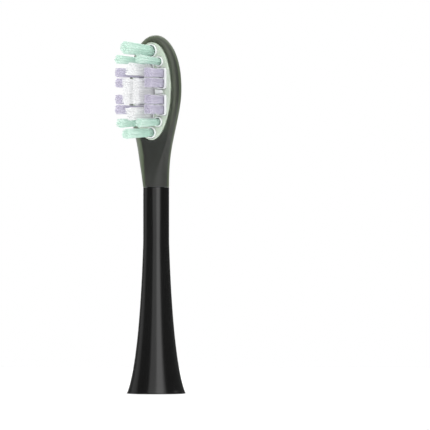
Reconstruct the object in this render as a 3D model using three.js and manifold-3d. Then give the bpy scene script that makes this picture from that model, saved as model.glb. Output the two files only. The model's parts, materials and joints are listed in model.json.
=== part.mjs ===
// A click-on brush head for a sonic toothbrush.
//
// A flared neck sleeve closes over a socket that grips the handle's drive shaft with a steel
// leaf. A rigid core carries the head: its tray holds a soft bed, and in the bed float white
// carriers, each with its own tufts of bristles. A smoke-coloured overmould wraps the core.
//
// Millimetres, +Z up the neck, bristles towards -Y. The head stands on the rim of its sleeve.

import * as THREE from "three";
import { mergeVertices } from "three/addons/utils/BufferGeometryUtils.js";
import Module from "manifold-3d";

const wasm = await Module();
wasm.setup();

// ---------------------------------------------------------------- driving dimensions

const clearance = 0.05; // between pieces that are fitted together

const sleeve = {
  height: 44.8,
  flareHeight: 33, // above this the neck is straight
  baseRadius: 6.5,
  neckRadius: 2.83,
  wall: 0.85,
  rimChamfer: 0.15,
};

const socket = {
  bottom: 5, // height of the socket's mouth inside the sleeve
  floor: 1.5, // closed end above the bore
};

const shaft = {
  radius: 2, // of the handle's drive shaft, which fills the bore
  flat: 1.3, // from the shaft's axis to its flat
  fit: 0.05, // between shaft and bore
  depth: 14, // how far the shaft goes into the bore
};

const leaf = {
  width: 1.9,
  thickness: 0.2,
  bite: 0.25, // how far its crown stands into the bore
  bow: 0.25, // from its ends to its crown
  foot: 1.1, // from the socket's mouth to the leaf's lower end
  length: 8.5,
  travel: 0.4, // room behind its free end
};

const key = { width: 2.4, thickness: 1.2, height: 1.4 }; // tongue that turns the core with the socket

const spine = { fit: 0.05, gap: 0.5 }; // the core's stem in the sleeve, and its gap to the socket

const bulb = {
  rise: 21.2, // from the sleeve's top edge to the head's widest section
  crown: 11.85, // from there to the tip of the head
  fullness: 2.25, // exponent of the crown's outline, 2 is an ellipse
  lip: 1.46, // overmould beside the soft bed, at the widest section
  depth: 3.3, // half the thickness of the head before its face is cut
  forward: 0.24, // of the section's centre, from the shaft's axis
  slenderness: 1.18, // above 1 keeps the neck narrow for longer
  shoulder: 1.8, // squares the front of the sections between the neck and the widest one
  rampFoot: 1, // from the sleeve's top edge to where the face has risen out of the round neck
  rampHead: 9.2, // from there to where it is flat
};

const skin = {
  back: 0.45, // overmould over the core
  side: 0.6,
  neck: 0.4,
  flange: 0.75, // how much more there is in front beside the neck
  lip: 0.55, // and beside the bed
  blend: 0.25, // share of the front's depth over which that sets in
};

const face = {
  height: 1.77, // the bed's face, forward of the shaft's axis
  centre: 20.7, // the field's centre, above the sleeve's top edge
  sink: 0.87, // from the face down to the tray's rim
  floor: 2.17, // from the face down to the tray's floor
  ledge: 0.25, // by which the bed overlaps the tray's rim
  egg: 0.05, // by which the bed is fuller above its middle
};

const backWindow = { halfWidth: 1.25, length: 17.85, drop: 1.5 }; // drop is below the field's centre

// The field of tufts. u runs across the head and v up it, from the field's centre.
const carrier = {
  thickness: 1.1,
  proud: 0.3, // above the bed's face
  gap: 0.12, // between neighbouring carriers
  pocket: 0.08, // between a carrier and the bed
  margin: 0.35, // of bed beyond the end carriers
  sideMargin: 1.05, // of bed beyond the side carriers
};
const root = { grip: 0.1, thickness: 0.45, drop: 0.3 }; // melted root of a tuft, under its carrier

const column = { width: 0.95, height: 5.1, web: 0.24, border: 0.24, corner: 0.3, length: 7.15 };
const columnTip = { inner: 0.42, width: 1.95, height: 5.6 };
const arm = { reach: 3.15, halfHeight: 0.45, chamfer: 0.3 };

const block = { width: 1.9, height: 1.85, web: 0.33, corner: 0.25, length: 6.1 };
const blockBorder = { inner: 0.26, outer: 0.5, end: 0.3, corner: 0.55 };
const blockTip = { width: 2.15, height: 2, corner: 0.6, out: 1.35, lift: 0.12 };

const wedge = { wide: 1.31, narrow: 0.62, height: 3.2, border: 0.26, corner: 0.3, length: 7 };
const wedgeTip = { wide: 1.95, narrow: 1.05, height: 2.75, rise: 0.45, corner: 0.55 };

const ring = { wall: 0.26 };
const roundTufts = {
  tip: { radius: 1.2, u: 0, step: 2.35, length: 9.1, lean: [0, 0.65], flare: 1.22 },
  upper: { radius: 0.83, u: 2.05, step: 0.06, length: 8, lean: [0.8, 0.55], flare: 1.19 },
  lower: { radius: 0.83, u: 1.8, step: 0.06, length: 7.7, lean: [0.88, -0.35], flare: 1.21 },
  heel: { radius: 0.95, u: 0, step: 2.35, length: 8.8, lean: [0, -0.35], flare: 1.22 },
};

const segments = { lathe: 44, section: 40, station: 20, circle: 16, corner: 3, egg: 44 };

// ---------------------------------------------------------------- materials

const plastic = (color, roughness) => new THREE.MeshStandardMaterial({ color, roughness });
const glossBlack = plastic(0x151515, 0.2);
const coreBlack = plastic(0x242424, 0.5);
const smokeRubber = plastic(0x4a5248, 0.45);
const paleRubber = plastic(0xb8c8b8, 0.5);
const carrierWhite = plastic(0xe6e8e9, 0.35);
const mintNylon = plastic(0xb5d9c9, 0.6);
const lilacNylon = plastic(0xbdb7ce, 0.6);
const whiteNylon = plastic(0xeaeaeb, 0.6);
const socketWhite = plastic(0xd8d8d2, 0.4);
const leafSteel = new THREE.MeshStandardMaterial({ color: 0xb0b2b4, roughness: 0.3, metalness: 1 });

// ---------------------------------------------------------------- solids

function solidOf(geometry) {
  const bare = geometry.clone();
  bare.deleteAttribute("normal");
  bare.deleteAttribute("uv");
  const merged = mergeVertices(bare, 1e-4);
  return new wasm.Manifold(
    new wasm.Mesh({
      numProp: 3,
      vertProperties: merged.attributes.position.array,
      triVerts: new Uint32Array(merged.index.array),
    }),
  );
}

function geometryOf(solid) {
  const mesh = solid.getMesh();
  const geometry = new THREE.BufferGeometry();
  geometry.setAttribute("position", new THREE.BufferAttribute(mesh.vertProperties, 3));
  geometry.setIndex(new THREE.BufferAttribute(mesh.triVerts, 1));
  geometry.computeVertexNormals();
  return geometry;
}

const cutFrom = (geometry, ...cutters) =>
  geometryOf(cutters.reduce((left, cutter) => left.subtract(solidOf(cutter)), solidOf(geometry)));
const joined = (...pieces) => geometryOf(pieces.map(solidOf).reduce((sum, piece) => sum.add(piece)));

function piece(name, geometry, material) {
  const mesh = new THREE.Mesh(geometry, material);
  mesh.name = name;
  return mesh;
}

function extruded(outline, bottom, top, holes = []) {
  const shape = new THREE.Shape(outline);
  shape.holes = holes.map((hole) => new THREE.Path(hole));
  const geometry = new THREE.ExtrudeGeometry(shape, { depth: top - bottom, bevelEnabled: false });
  return geometry.translate(0, 0, bottom);
}

// Joins closed loops of equally many points, each an array of Vector3, into one capped skin.
function lofted(loops) {
  const count = loops[0].length;
  const positions = [];
  const triangle = (a, b, c) => positions.push(...a.toArray(), ...b.toArray(), ...c.toArray());
  for (let level = 0; level + 1 < loops.length; level++) {
    const [low, high] = [loops[level], loops[level + 1]];
    for (let i = 0; i < count; i++) {
      const j = (i + 1) % count;
      triangle(low[i], low[j], high[j]);
      triangle(low[i], high[j], high[i]);
    }
  }
  const middle = (loop) =>
    loop.reduce((sum, p) => sum.add(p), new THREE.Vector3()).divideScalar(count);
  const [first, last] = [loops[0], loops[loops.length - 1]];
  const [bottom, top] = [middle(first), middle(last)];
  for (let i = 0; i < count; i++) {
    const j = (i + 1) % count;
    triangle(bottom, first[j], first[i]);
    triangle(top, last[i], last[j]);
  }
  const geometry = new THREE.BufferGeometry();
  geometry.setAttribute("position", new THREE.Float32BufferAttribute(positions, 3));
  return mergeVertices(geometry, 1e-4);
}

// ---------------------------------------------------------------- outlines

const smooth = (t) => t * t * (3 - 2 * t);
const clamp01 = (t) => Math.min(1, Math.max(0, t));
const mirrored = (outline, sideways) =>
  sideways > 0 ? outline : outline.map((p) => new THREE.Vector2(-p.x, p.y)).reverse();

function circle(radius, u = 0, v = 0, count = segments.circle) {
  return Array.from({ length: count }, (_, i) => {
    const angle = (2 * Math.PI * i) / count;
    return new THREE.Vector2(u + radius * Math.cos(angle), v + radius * Math.sin(angle));
  });
}

// Stands a shape drawn as (y, z), with its thickness along +Z, upright with its thickness along +X.
const sideways = new THREE.Matrix4().makeBasis(
  new THREE.Vector3(0, 1, 0),
  new THREE.Vector3(0, 0, 1),
  new THREE.Vector3(1, 0, 0),
);

// A convex polygon, anticlockwise, with each corner rounded by an arc that touches both sides.
function rounded(corners, radius) {
  const points = [];
  corners.forEach(([x, y], i) => {
    const at = new THREE.Vector2(x, y);
    const before = corners[(i + corners.length - 1) % corners.length];
    const after = corners[(i + 1) % corners.length];
    const back = new THREE.Vector2(...before).sub(at).normalize();
    const ahead = new THREE.Vector2(...after).sub(at).normalize();
    const half = Math.acos(THREE.MathUtils.clamp(back.dot(ahead), -1, 1)) / 2;
    const centre = at.clone().addScaledVector(back.clone().add(ahead).normalize(), radius / Math.sin(half));
    const from = at.clone().addScaledVector(back, radius / Math.tan(half)).sub(centre);
    const turn = Math.PI - 2 * half;
    for (let k = 0; k <= segments.corner; k++) {
      const spoke = from.clone().rotateAround(new THREE.Vector2(), (turn * k) / segments.corner);
      points.push(centre.clone().add(spoke));
    }
  });
  return points;
}

const boxCorners = (left, right, low, high) => [
  [left, low],
  [right, low],
  [right, high],
  [left, high],
];

// Moves every point of an anticlockwise outline outwards, square to its neighbours.
function grown(outline, amount) {
  return outline.map((p, i) => {
    const before = outline[(i + outline.length - 1) % outline.length];
    const after = outline[(i + 1) % outline.length];
    const along = after.clone().sub(before).normalize();
    return new THREE.Vector2(p.x + along.y * amount, p.y - along.x * amount);
  });
}

// ---------------------------------------------------------------- sleeve, socket and leaf

const flare = new THREE.CubicBezierCurve(
  new THREE.Vector2(sleeve.baseRadius, 0),
  new THREE.Vector2(THREE.MathUtils.lerp(sleeve.neckRadius, sleeve.baseRadius, 0.22), 6.75),
  new THREE.Vector2(sleeve.neckRadius + 0.16, 0.86 * sleeve.flareHeight),
  new THREE.Vector2(sleeve.neckRadius, sleeve.flareHeight),
);

function sleeveRadius(z) {
  if (z >= sleeve.flareHeight) return sleeve.neckRadius;
  let [low, high] = [0, 1];
  for (let step = 0; step < 30; step++) {
    const t = (low + high) / 2;
    if (flare.getPoint(t).y < z) low = t;
    else high = t;
  }
  return flare.getPoint(low).x;
}
const boreRadius = (z) => sleeveRadius(z) - sleeve.wall;

// Radii of the sleeve's outside or inside between two heights, as lathe points going up.
function wallPoints(radius, from, to, count) {
  return Array.from({ length: count + 1 }, (_, i) => {
    const z = THREE.MathUtils.lerp(from, to, i / count);
    return new THREE.Vector2(radius(z), z);
  });
}

function neckSleeve() {
  const { height, rimChamfer, wall } = sleeve;
  const outside = wallPoints(sleeveRadius, rimChamfer, height, 14);
  const inside = wallPoints(boreRadius, 0, height, 12).reverse();
  const rim = new THREE.Vector2(sleeveRadius(0) - rimChamfer, 0);
  const profile = [rim, ...outside, ...inside, rim.clone()];
  return new THREE.LatheGeometry(profile, segments.lathe).rotateX(Math.PI / 2);
}

const boreTop = socket.bottom + shaft.depth;
const socketTop = boreTop + socket.floor;
const shaftBore = shaft.radius + shaft.fit;
const flatAt = shaft.flat + shaft.fit;
const leafPocket = {
  halfWidth: leaf.width / 2 + 0.12,
  inner: shaftBore - leaf.bite - 0.2,
  outer: shaftBore - leaf.bite + leaf.bow + leaf.thickness + leaf.travel,
  bottom: socket.bottom + leaf.foot - 0.2,
  top: socket.bottom + leaf.foot + leaf.length + 0.3,
};

// The bore is round with a flat at the back, where the shaft has its own.
function shaftSocket() {
  const wall = wallPoints((z) => boreRadius(z) - clearance, socket.bottom, socketTop, 8);
  const profile = [new THREE.Vector2(0, socket.bottom), ...wall, new THREE.Vector2(0, socketTop)];
  const body = new THREE.LatheGeometry(profile, segments.lathe).rotateX(Math.PI / 2);
  const flatAngle = Math.asin(flatAt / shaftBore);
  const count = 28;
  const bore = Array.from({ length: count + 1 }, (_, i) => {
    const angle = Math.PI - flatAngle + ((Math.PI + 2 * flatAngle) * i) / count;
    return new THREE.Vector2(shaftBore * Math.cos(angle), shaftBore * Math.sin(angle));
  });
  const { halfWidth, inner, outer, bottom, top } = leafPocket;
  const pocket = extruded(boxed(-halfWidth, halfWidth, -outer, -inner), bottom, top);
  const slot = extruded(
    boxed(-key.width / 2 - clearance, key.width / 2 + clearance, -keyReach, keyReach),
    socketTop - key.height,
    socketTop + 1,
  );
  return cutFrom(body, extruded(bore, socket.bottom - 1, boreTop), pocket, slot);
}

const keyReach = key.thickness / 2 + clearance;
function boxed(left, right, low, high) {
  return boxCorners(left, right, low, high).map((corner) => new THREE.Vector2(...corner));
}

// A bowed strip: its foot and its free end lie back in the pocket, and its crown bites the shaft.
function leafSpring() {
  const crown = -(shaftBore - leaf.bite);
  const back = crown - leaf.bow;
  const low = socket.bottom + leaf.foot;
  const middle = [
    [back, low],
    [back, low + 0.14 * leaf.length],
    [crown - 0.05, low + 0.62 * leaf.length],
    [crown, low + 0.72 * leaf.length],
    [crown - 0.05, low + 0.82 * leaf.length],
    [back, low + leaf.length],
  ].map((corner) => new THREE.Vector2(...corner));
  const outside = middle.map((p) => new THREE.Vector2(p.x - leaf.thickness, p.y));
  const strip = extruded([...outside, ...middle.reverse()], -leaf.width / 2, leaf.width / 2);
  return strip.applyMatrix4(sideways);
}

// ---------------------------------------------------------------- the field's layout

const field = { z: sleeve.height + face.centre };
const centreHalfWidth = column.web / 2 + column.width + column.border;
const centreHalfHeight = column.height / 2 + column.border;
const wing = {
  inner: centreHalfWidth + carrier.gap,
  low: arm.halfHeight + carrier.gap,
};
wing.windowInner = wing.inner + blockBorder.inner;
wing.outer = wing.windowInner + block.width + blockBorder.outer;
wing.rows = [0, 1].map((row) => wing.low + blockBorder.end + row * (block.height + block.web));
wing.high = wing.rows[1] + block.height + blockBorder.end;
const wedgeLow = centreHalfHeight + carrier.gap;

const ringRadius = (tuft) => tuft.radius + clearance + ring.wall;
const pairHeight = (tuft) => wing.high + carrier.gap + ringRadius(tuft) + tuft.step;
const endHeight = (end, pair) => pairHeight(pair) + end.step;
const { tip, upper, lower, heel } = roundTufts;
const rounds = [
  { name: "tip", tuft: tip, side: 0, v: endHeight(tip, upper) },
  { name: "upper_left", tuft: upper, side: -1, v: pairHeight(upper) },
  { name: "upper_right", tuft: upper, side: 1, v: pairHeight(upper) },
  { name: "lower_left", tuft: lower, side: -1, v: -pairHeight(lower) },
  { name: "lower_right", tuft: lower, side: 1, v: -pairHeight(lower) },
  { name: "heel", tuft: heel, side: 0, v: -endHeight(heel, lower) },
];

const bedTop = endHeight(tip, upper) + ringRadius(tip) + carrier.margin;
const bedBottom = endHeight(heel, lower) + ringRadius(heel) + carrier.margin;
const bed = {
  halfWidth: wing.outer + carrier.sideMargin,
  halfHeight: (bedTop + bedBottom) / 2,
  middle: (bedTop - bedBottom) / 2,
};

function egg(inset) {
  return Array.from({ length: segments.egg }, (_, i) => {
    const angle = (2 * Math.PI * i) / segments.egg;
    const width = (bed.halfWidth - inset) * (1 + face.egg * Math.sin(angle));
    const height = bed.halfHeight - inset;
    return new THREE.Vector2(width * Math.cos(angle), bed.middle + height * Math.sin(angle));
  });
}

// ---------------------------------------------------------------- core and overmould

const widest = sleeve.height + bulb.rise;
const headTop = widest + bulb.crown;
const bulbHalfWidth = bed.halfWidth + bulb.lip;

// The head's section at a height: an ellipse at the back, and a squarer curve at the front.
function section(z, sideInset, depthInset) {
  const climb = clamp01((z - sleeve.height) / bulb.rise);
  const dome = clamp01((z - widest) / (headTop - sideInset - widest));
  const close = Math.sqrt(Math.max(0, 1 - dome ** bulb.fullness));
  const swell = smooth(climb ** bulb.slenderness);
  const width = THREE.MathUtils.lerp(sleeve.neckRadius, bulbHalfWidth, swell);
  const depth = THREE.MathUtils.lerp(sleeve.neckRadius, bulb.depth, swell);
  const shift = bulb.forward * smooth(clamp01(2.2 * climb));
  return {
    halfWidth: (width - sideInset) * close,
    halfDepth: (depth - depthInset) * close,
    forward: shift,
    squareness: 2 + bulb.shoulder * Math.sin(Math.PI * climb),
    close,
  };
}

// The overmould over the core's sides, and how much more of it there is in front.
const climbAt = (z) => THREE.MathUtils.clamp((z - sleeve.height) / bulb.rise, 0, 1);
const coreInset = (z) => THREE.MathUtils.lerp(skin.neck, skin.side, climbAt(z));
const frontInset = (z) =>
  THREE.MathUtils.lerp(skin.flange * Math.sin(Math.PI * climbAt(z)), skin.lip, climbAt(z) ** 2);

function headLoft(bottom, isCore, extra) {
  const top = isCore ? headTop - skin.side - extra : headTop;
  const loops = [];
  for (let level = 0; level <= segments.station; level++) {
    const share = Math.sin((level / segments.station) * (Math.PI / 2)) * 0.9985;
    const z = THREE.MathUtils.lerp(bottom, top, share);
    const sideInset = isCore ? coreInset(z) + extra : 0;
    const depthInset = isCore ? skin.back + extra : 0;
    const shape = section(z, sideInset, depthInset);
    const { halfWidth, halfDepth, forward, squareness } = shape;
    const narrower = isCore ? frontInset(z) * shape.close : 0;
    loops.push(
      Array.from({ length: segments.section }, (_, i) => {
        const angle = (2 * Math.PI * i) / segments.section;
        const power = 2 / (Math.sin(angle) < 0 ? squareness : 2);
        const across = Math.sign(Math.cos(angle)) * Math.abs(Math.cos(angle)) ** power;
        const back = Math.sign(Math.sin(angle)) * Math.abs(Math.sin(angle)) ** power;
        const front = THREE.MathUtils.smoothstep(-Math.sin(angle), 0, skin.blend);
        const width = halfWidth - front * narrower;
        return new THREE.Vector3(width * across, halfDepth * back - forward, z);
      }),
    );
  }
  return lofted(loops);
}

// Turns a shape drawn across the field, with its thickness along +Z, to face forward from the head.
const facing = (geometry) => geometry.rotateX(Math.PI / 2).translate(0, 0, field.z);

// Everything in front of the head's face, which rises out of the neck's round front in a curve.
function frontCutter(plane, neck) {
  const foot = sleeve.height + bulb.rampFoot;
  const head = foot + bulb.rampHead;
  const bend = bulb.rampHead / 2;
  const curve = new THREE.CubicBezierCurve(
    new THREE.Vector2(-neck, foot),
    new THREE.Vector2(-neck, foot + bend),
    new THREE.Vector2(-plane, head - bend),
    new THREE.Vector2(-plane, head),
  );
  const front = -2 * bulb.depth;
  const top = new THREE.Vector2(-plane, headTop + 1);
  const corners = [new THREE.Vector2(front, headTop + 1), new THREE.Vector2(front, foot)];
  const profile = [...corners, ...curve.getPoints(12), top];
  const slab = extruded(profile, -2 * bulbHalfWidth, 2 * bulbHalfWidth);
  return slab.applyMatrix4(sideways);
}

const trayRim = face.height - face.sink;
const coreFront = (gap) => frontCutter(trayRim + gap, sleeve.neckRadius - skin.back + gap);
const trayFloor = face.height - face.floor;
const bedOpening = (inset, from) => facing(extruded(egg(inset), from, bulb.depth * 2));

function headCore() {
  const spoon = headLoft(sleeve.height + clearance, true, 0);
  const stemRadius = boreRadius(sleeve.height) - spine.fit;
  const stemBottom = socketTop + spine.gap;
  const stemHeight = sleeve.height + 1 - stemBottom;
  const stem = new THREE.CylinderGeometry(stemRadius, stemRadius, stemHeight, 28);
  stem.rotateX(Math.PI / 2).translate(0, 0, stemBottom + stemHeight / 2);
  const tongueBottom = socketTop - key.height + 0.2;
  const halfKey = key.width / 2;
  const tongue = extruded(
    boxed(-halfKey, halfKey, -key.thickness / 2, key.thickness / 2),
    tongueBottom,
    stemBottom + 1,
  );
  const whole = joined(spoon, stem, tongue);
  return cutFrom(whole, coreFront(0), bedOpening(face.ledge - clearance, trayFloor));
}

function headOvermould() {
  const { halfWidth, length, drop } = backWindow;
  const straight = length / 2 - halfWidth;
  const window = rounded(
    boxCorners(-halfWidth, halfWidth, -drop - straight - halfWidth, -drop + straight + halfWidth),
    0.999 * halfWidth,
  );
  return cutFrom(
    headLoft(sleeve.height + clearance, false, 0),
    cutFrom(headLoft(sleeve.height - 1, true, -clearance), coreFront(clearance)),
    frontCutter(face.height, sleeve.neckRadius),
    bedOpening(-clearance, trayRim),
    facing(extruded(window, -bulb.depth * 2, 0)),
  );
}

// ---------------------------------------------------------------- bed, carriers and tufts

const carrierTop = face.height + carrier.proud;
const carrierBottom = carrierTop - carrier.thickness;
const rootTop = carrierBottom - clearance;
const rootBottom = rootTop - root.thickness;

// A tuft grows from its melted root, through its carrier, to a domed end that leans outwards.
function tuftSolid(base, end, lean, length) {
  const level = (outline, height, share = 0, shrink = 1) => {
    const middle = outline
      .reduce((sum, p) => sum.add(p), new THREE.Vector2())
      .divideScalar(outline.length);
    return outline.map((p) => {
      const x = middle.x + (p.x - middle.x) * shrink + lean[0] * share;
      const y = middle.y + (p.y - middle.y) * shrink + lean[1] * share;
      return new THREE.Vector3(x, y, height);
    });
  };
  const tipAt = (share) => carrierTop + length * share;
  return lofted([
    level(grown(base, root.grip), rootBottom),
    level(grown(base, root.grip), rootTop),
    level(base, rootTop),
    level(base, carrierTop),
    level(end, tipAt(0.93), 0.93),
    level(end, tipAt(0.98), 0.98, 0.86),
    level(end, tipAt(1), 1, 0.55),
  ]);
}

const windowFor = (base) => grown(base, clearance);
const carrierSolid = (outline, bases) =>
  extruded(outline, carrierBottom, carrierTop, bases.map(windowFor));

function roundSet({ name, tuft, side, v }) {
  const base = circle(tuft.radius, tuft.u * side, v);
  const end = circle(tuft.radius * tuft.flare, tuft.u * side, v);
  const outline = circle(ringRadius(tuft), tuft.u * side, v, 24);
  return {
    carrier: { name: `${name}_carrier`, outline, bases: [base] },
    tufts: [
      {
        name: `${name}_tuft`,
        base,
        end,
        lean: [tuft.lean[0] * side, tuft.lean[1]],
        length: tuft.length,
        material: mintNylon,
      },
    ],
  };
}

// Two blocks of bristles share a carrier on each side, above and below the arm.
function wingSet(name, side, up) {
  const outline = rounded(
    boxCorners(wing.inner, wing.outer, wing.low, wing.high),
    blockBorder.corner,
  );
  const turned = (points) => {
    const across = mirrored(points, side);
    return up > 0 ? across : across.map((p) => new THREE.Vector2(p.x, -p.y)).reverse();
  };
  const blocks = wing.rows.map((low) => {
    const [left, right] = [wing.windowInner, wing.windowInner + block.width];
    const [u, v] = [(left + right) / 2, low + block.height / 2];
    const [halfWide, halfHigh] = [blockTip.width / 2, blockTip.height / 2];
    return {
      base: turned(rounded(boxCorners(left, right, low, low + block.height), block.corner)),
      end: turned(
        rounded(
          boxCorners(u - halfWide, u + halfWide, v - halfHigh, v + halfHigh),
          blockTip.corner,
        ),
      ),
      lean: [blockTip.out * side, blockTip.lift],
    };
  });
  return {
    carrier: { name: `${name}_carrier`, outline: turned(outline), bases: blocks.map((b) => b.base) },
    tufts: blocks.map((b, row) => ({
      name: `${name}_${row ? "outer" : "inner"}_tuft`,
      ...b,
      length: block.length,
      material: lilacNylon,
    })),
  };
}

function wedgeSet(name, up) {
  const shape = (wide, narrow, low, height, corner) => {
    const corners = [
      [-wide, low],
      [wide, low],
      [narrow, low + height],
      [-narrow, low + height],
    ];
    const outline = rounded(corners, corner);
    return up > 0 ? outline : outline.map((p) => new THREE.Vector2(p.x, -p.y)).reverse();
  };
  const inset = wedge.border;
  const base = shape(
    wedge.wide - inset,
    wedge.narrow - 0.6 * inset,
    wedgeLow + inset,
    wedge.height - 2 * inset,
    wedge.corner,
  );
  const tipLow = wedgeLow + (wedge.height - wedgeTip.height) / 2;
  const end = shape(wedgeTip.wide, wedgeTip.narrow, tipLow, wedgeTip.height, wedgeTip.corner);
  const outline = shape(wedge.wide, wedge.narrow, wedgeLow, wedge.height, wedge.corner);
  return {
    carrier: { name: `${name}_carrier`, outline, bases: [base] },
    tufts: [
      {
        name: `${name}_tuft`,
        base,
        end,
        lean: [0, wedgeTip.rise * up],
        length: wedge.length,
        material: whiteNylon,
      },
    ],
  };
}

// The middle carrier holds two columns of bristles, and its arms fill the gap between the wings.
function middleSet() {
  const [halfWide, halfHigh] = [centreHalfWidth, centreHalfHeight];
  const { reach, halfHeight, chamfer } = arm;
  const quarter = [
    [halfWide, -halfHeight],
    [reach - chamfer, -halfHeight],
    [reach, -halfHeight + chamfer],
    [reach, halfHeight - chamfer],
    [reach - chamfer, halfHeight],
    [halfWide, halfHeight],
  ];
  const corners = [
    [halfWide, -halfHigh],
    ...quarter,
    [halfWide, halfHigh],
    [-halfWide, halfHigh],
    ...quarter.map(([x, y]) => [-x, -y]),
    [-halfWide, -halfHigh],
  ];
  const outline = corners.map((corner) => new THREE.Vector2(...corner));
  const columns = [-1, 1].map((side) => {
    const [inner, half] = [column.web / 2, column.height / 2];
    const base = rounded(boxCorners(inner, inner + column.width, -half, half), column.corner);
    const lean = columnTip.inner + columnTip.width / 2 - (inner + column.width / 2);
    const middle = inner + column.width / 2;
    const [wide, high] = [columnTip.width / 2, columnTip.height / 2];
    const end = rounded(boxCorners(middle - wide, middle + wide, -high, high), column.corner);
    return {
      name: side < 0 ? "middle_left_tuft" : "middle_right_tuft",
      base: mirrored(base, side),
      end: mirrored(end, side),
      lean: [lean * side, 0],
      length: column.length,
      material: whiteNylon,
    };
  });
  return {
    carrier: { name: "middle_carrier", outline, bases: columns.map((c) => c.base) },
    tufts: columns,
  };
}

const sets = [
  ...rounds.map(roundSet),
  wingSet("upper_left_wing", -1, 1),
  wingSet("upper_right_wing", 1, 1),
  wingSet("lower_left_wing", -1, -1),
  wingSet("lower_right_wing", 1, -1),
  wedgeSet("upper_wedge", 1),
  middleSet(),
  wedgeSet("lower_wedge", -1),
];

function softBed() {
  const low = extruded(egg(face.ledge), trayFloor + clearance, face.height);
  const brim = extruded(egg(0), trayRim + clearance, face.height);
  const pocketFloor = rootBottom - root.drop;
  const pockets = sets.map((set) =>
    extruded(grown(set.carrier.outline, carrier.pocket), pocketFloor, face.height + 1),
  );
  return cutFrom(joined(low, brim), ...pockets);
}

// ---------------------------------------------------------------- assembly

function tuftField() {
  const group = new THREE.Group();
  group.add(piece("soft_bed", softBed(), paleRubber));
  for (const set of sets) {
    const { name, outline, bases } = set.carrier;
    group.add(piece(name, carrierSolid(outline, bases), carrierWhite));
    for (const { name: tuftName, base, end, lean, length, material } of set.tufts)
      group.add(piece(tuftName, tuftSolid(base, end, lean, length), material));
  }
  group.rotation.x = Math.PI / 2;
  group.position.z = field.z;
  return group;
}

const brushHead = new THREE.Group();
brushHead.add(
  piece("neck_sleeve", neckSleeve(), glossBlack),
  piece("shaft_socket", shaftSocket(), socketWhite),
  piece("shaft_leaf", leafSpring(), leafSteel),
  piece("head_core", headCore(), coreBlack),
  piece("head_overmould", headOvermould(), smokeRubber),
  tuftField(),
);

// The origin is under the middle of the whole object, which the bristles stretch forwards.
const reach = Math.max(...sets.flatMap((set) => set.tufts.map((t) => carrierTop + t.length)));
brushHead.position.y = (reach - sleeve.baseRadius) / 2;

const part = new THREE.Group();
part.add(brushHead);
export default part;
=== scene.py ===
"""Click-on brush head for a sonic toothbrush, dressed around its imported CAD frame."""

import json
import math
import random

import bmesh
import bpy
import numpy as np
from bpy.props import FloatProperty, FloatVectorProperty, IntProperty, PointerProperty
from mathutils import Matrix, Vector


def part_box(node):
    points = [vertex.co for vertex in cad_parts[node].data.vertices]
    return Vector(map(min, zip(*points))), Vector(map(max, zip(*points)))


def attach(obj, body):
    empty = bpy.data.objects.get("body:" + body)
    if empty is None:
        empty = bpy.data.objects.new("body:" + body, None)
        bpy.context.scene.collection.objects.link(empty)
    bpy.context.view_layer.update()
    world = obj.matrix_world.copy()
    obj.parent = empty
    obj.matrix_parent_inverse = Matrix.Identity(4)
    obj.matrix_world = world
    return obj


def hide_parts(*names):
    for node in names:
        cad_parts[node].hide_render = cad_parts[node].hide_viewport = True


bl_info = {
    "name": "Sonic Brush Head",
    "version": (1, 0, 0),
    "blender": (4, 5, 0),
    "location": "3D View > Sidebar > Brush Head",
    "description": "Builds a click-on brush head: sleeve, overmoulded head, carriers and bristles",
    "category": "Object",
}

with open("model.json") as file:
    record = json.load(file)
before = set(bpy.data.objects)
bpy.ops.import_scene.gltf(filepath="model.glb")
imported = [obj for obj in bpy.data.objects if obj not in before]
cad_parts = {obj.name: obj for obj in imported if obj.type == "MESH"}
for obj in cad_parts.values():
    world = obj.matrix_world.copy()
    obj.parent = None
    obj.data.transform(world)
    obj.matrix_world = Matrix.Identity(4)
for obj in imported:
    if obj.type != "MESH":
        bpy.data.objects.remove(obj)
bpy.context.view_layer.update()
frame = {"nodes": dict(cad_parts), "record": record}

MM = 0.001


# ---------------------------------------------------------------- places from the frame


def middle(node):
    low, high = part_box(node)
    return (low + high) / 2


NECK_Y = middle("neck_sleeve").y
SLEEVE_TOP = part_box("neck_sleeve")[1].z
NECK_RADIUS = 2.83 * MM
HEAD_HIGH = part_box("head_overmould")[1]
BED_LOW, BED_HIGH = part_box("soft_bed")
BED_EGG = 0.05  # how much wider the bed's outline is at its top than at its middle
FACE = NECK_Y - BED_LOW.y  # from the neck's axis forwards to the bed's face

# Behind the bed's face, and above its lower end, where the painted light on the core's rim starts
# and ends: a pale band standing in for the pale bed's light coming through the lip.
PAINTED_GLOW_NEAR, PAINTED_GLOW_FAR = 0.95 * MM, 1.7 * MM
PAINTED_GLOW_FOOT, PAINTED_GLOW_HEAD = 0.5 * MM, 6 * MM

SMOKE_DENSITY = 900
BOUNCE_OPACITY = 0.3  # how much of the light that isn't the camera's a filament stops
BURIED = 0.35 * MM  # how deep a filament starts below its carrier's face

# Name, turn and height angle in degrees as seen from the camera's side, distance, size, watts.
SOFTBOXES = (
    ("wide_softbox", 5, 25, 1.8, (2.4, 2.9), 20.0),
    ("front_softbox", 18, 25, 1.78, (0.9, 2.9), 11.5),
    ("left_strip", -108, 10, 0.8, (0.45, 1.2), 0.7),
    ("right_softbox", 105, 38, 0.8, (0.3, 0.3), 0.45),
    ("top_softbox", 10, 78, 0.8, (0.7, 0.7), 2.5),
    ("back_softbox", 165, 42, 0.9, (0.9, 0.5), 3.0),
    ("back_strip", 188, 6, 0.9, (0.4, 1.3), 3.2),
)
# The world's strength as the camera and the clear rubber see it, as gloss mirrors it, and as it
# lights the rest.
WORLD_SEEN, WORLD_MIRRORED, WORLD_LIGHT = 1.0, 0.12, 0.62


# ---------------------------------------------------------------- sizes and colours


def length(name, description, default):
    return FloatProperty(
        name=name, description=description, default=default, unit="LENGTH", precision=5
    )


def ratio(name, description, default, top=1.0):
    return FloatProperty(name=name, description=description, default=default, min=0, max=top)


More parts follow.
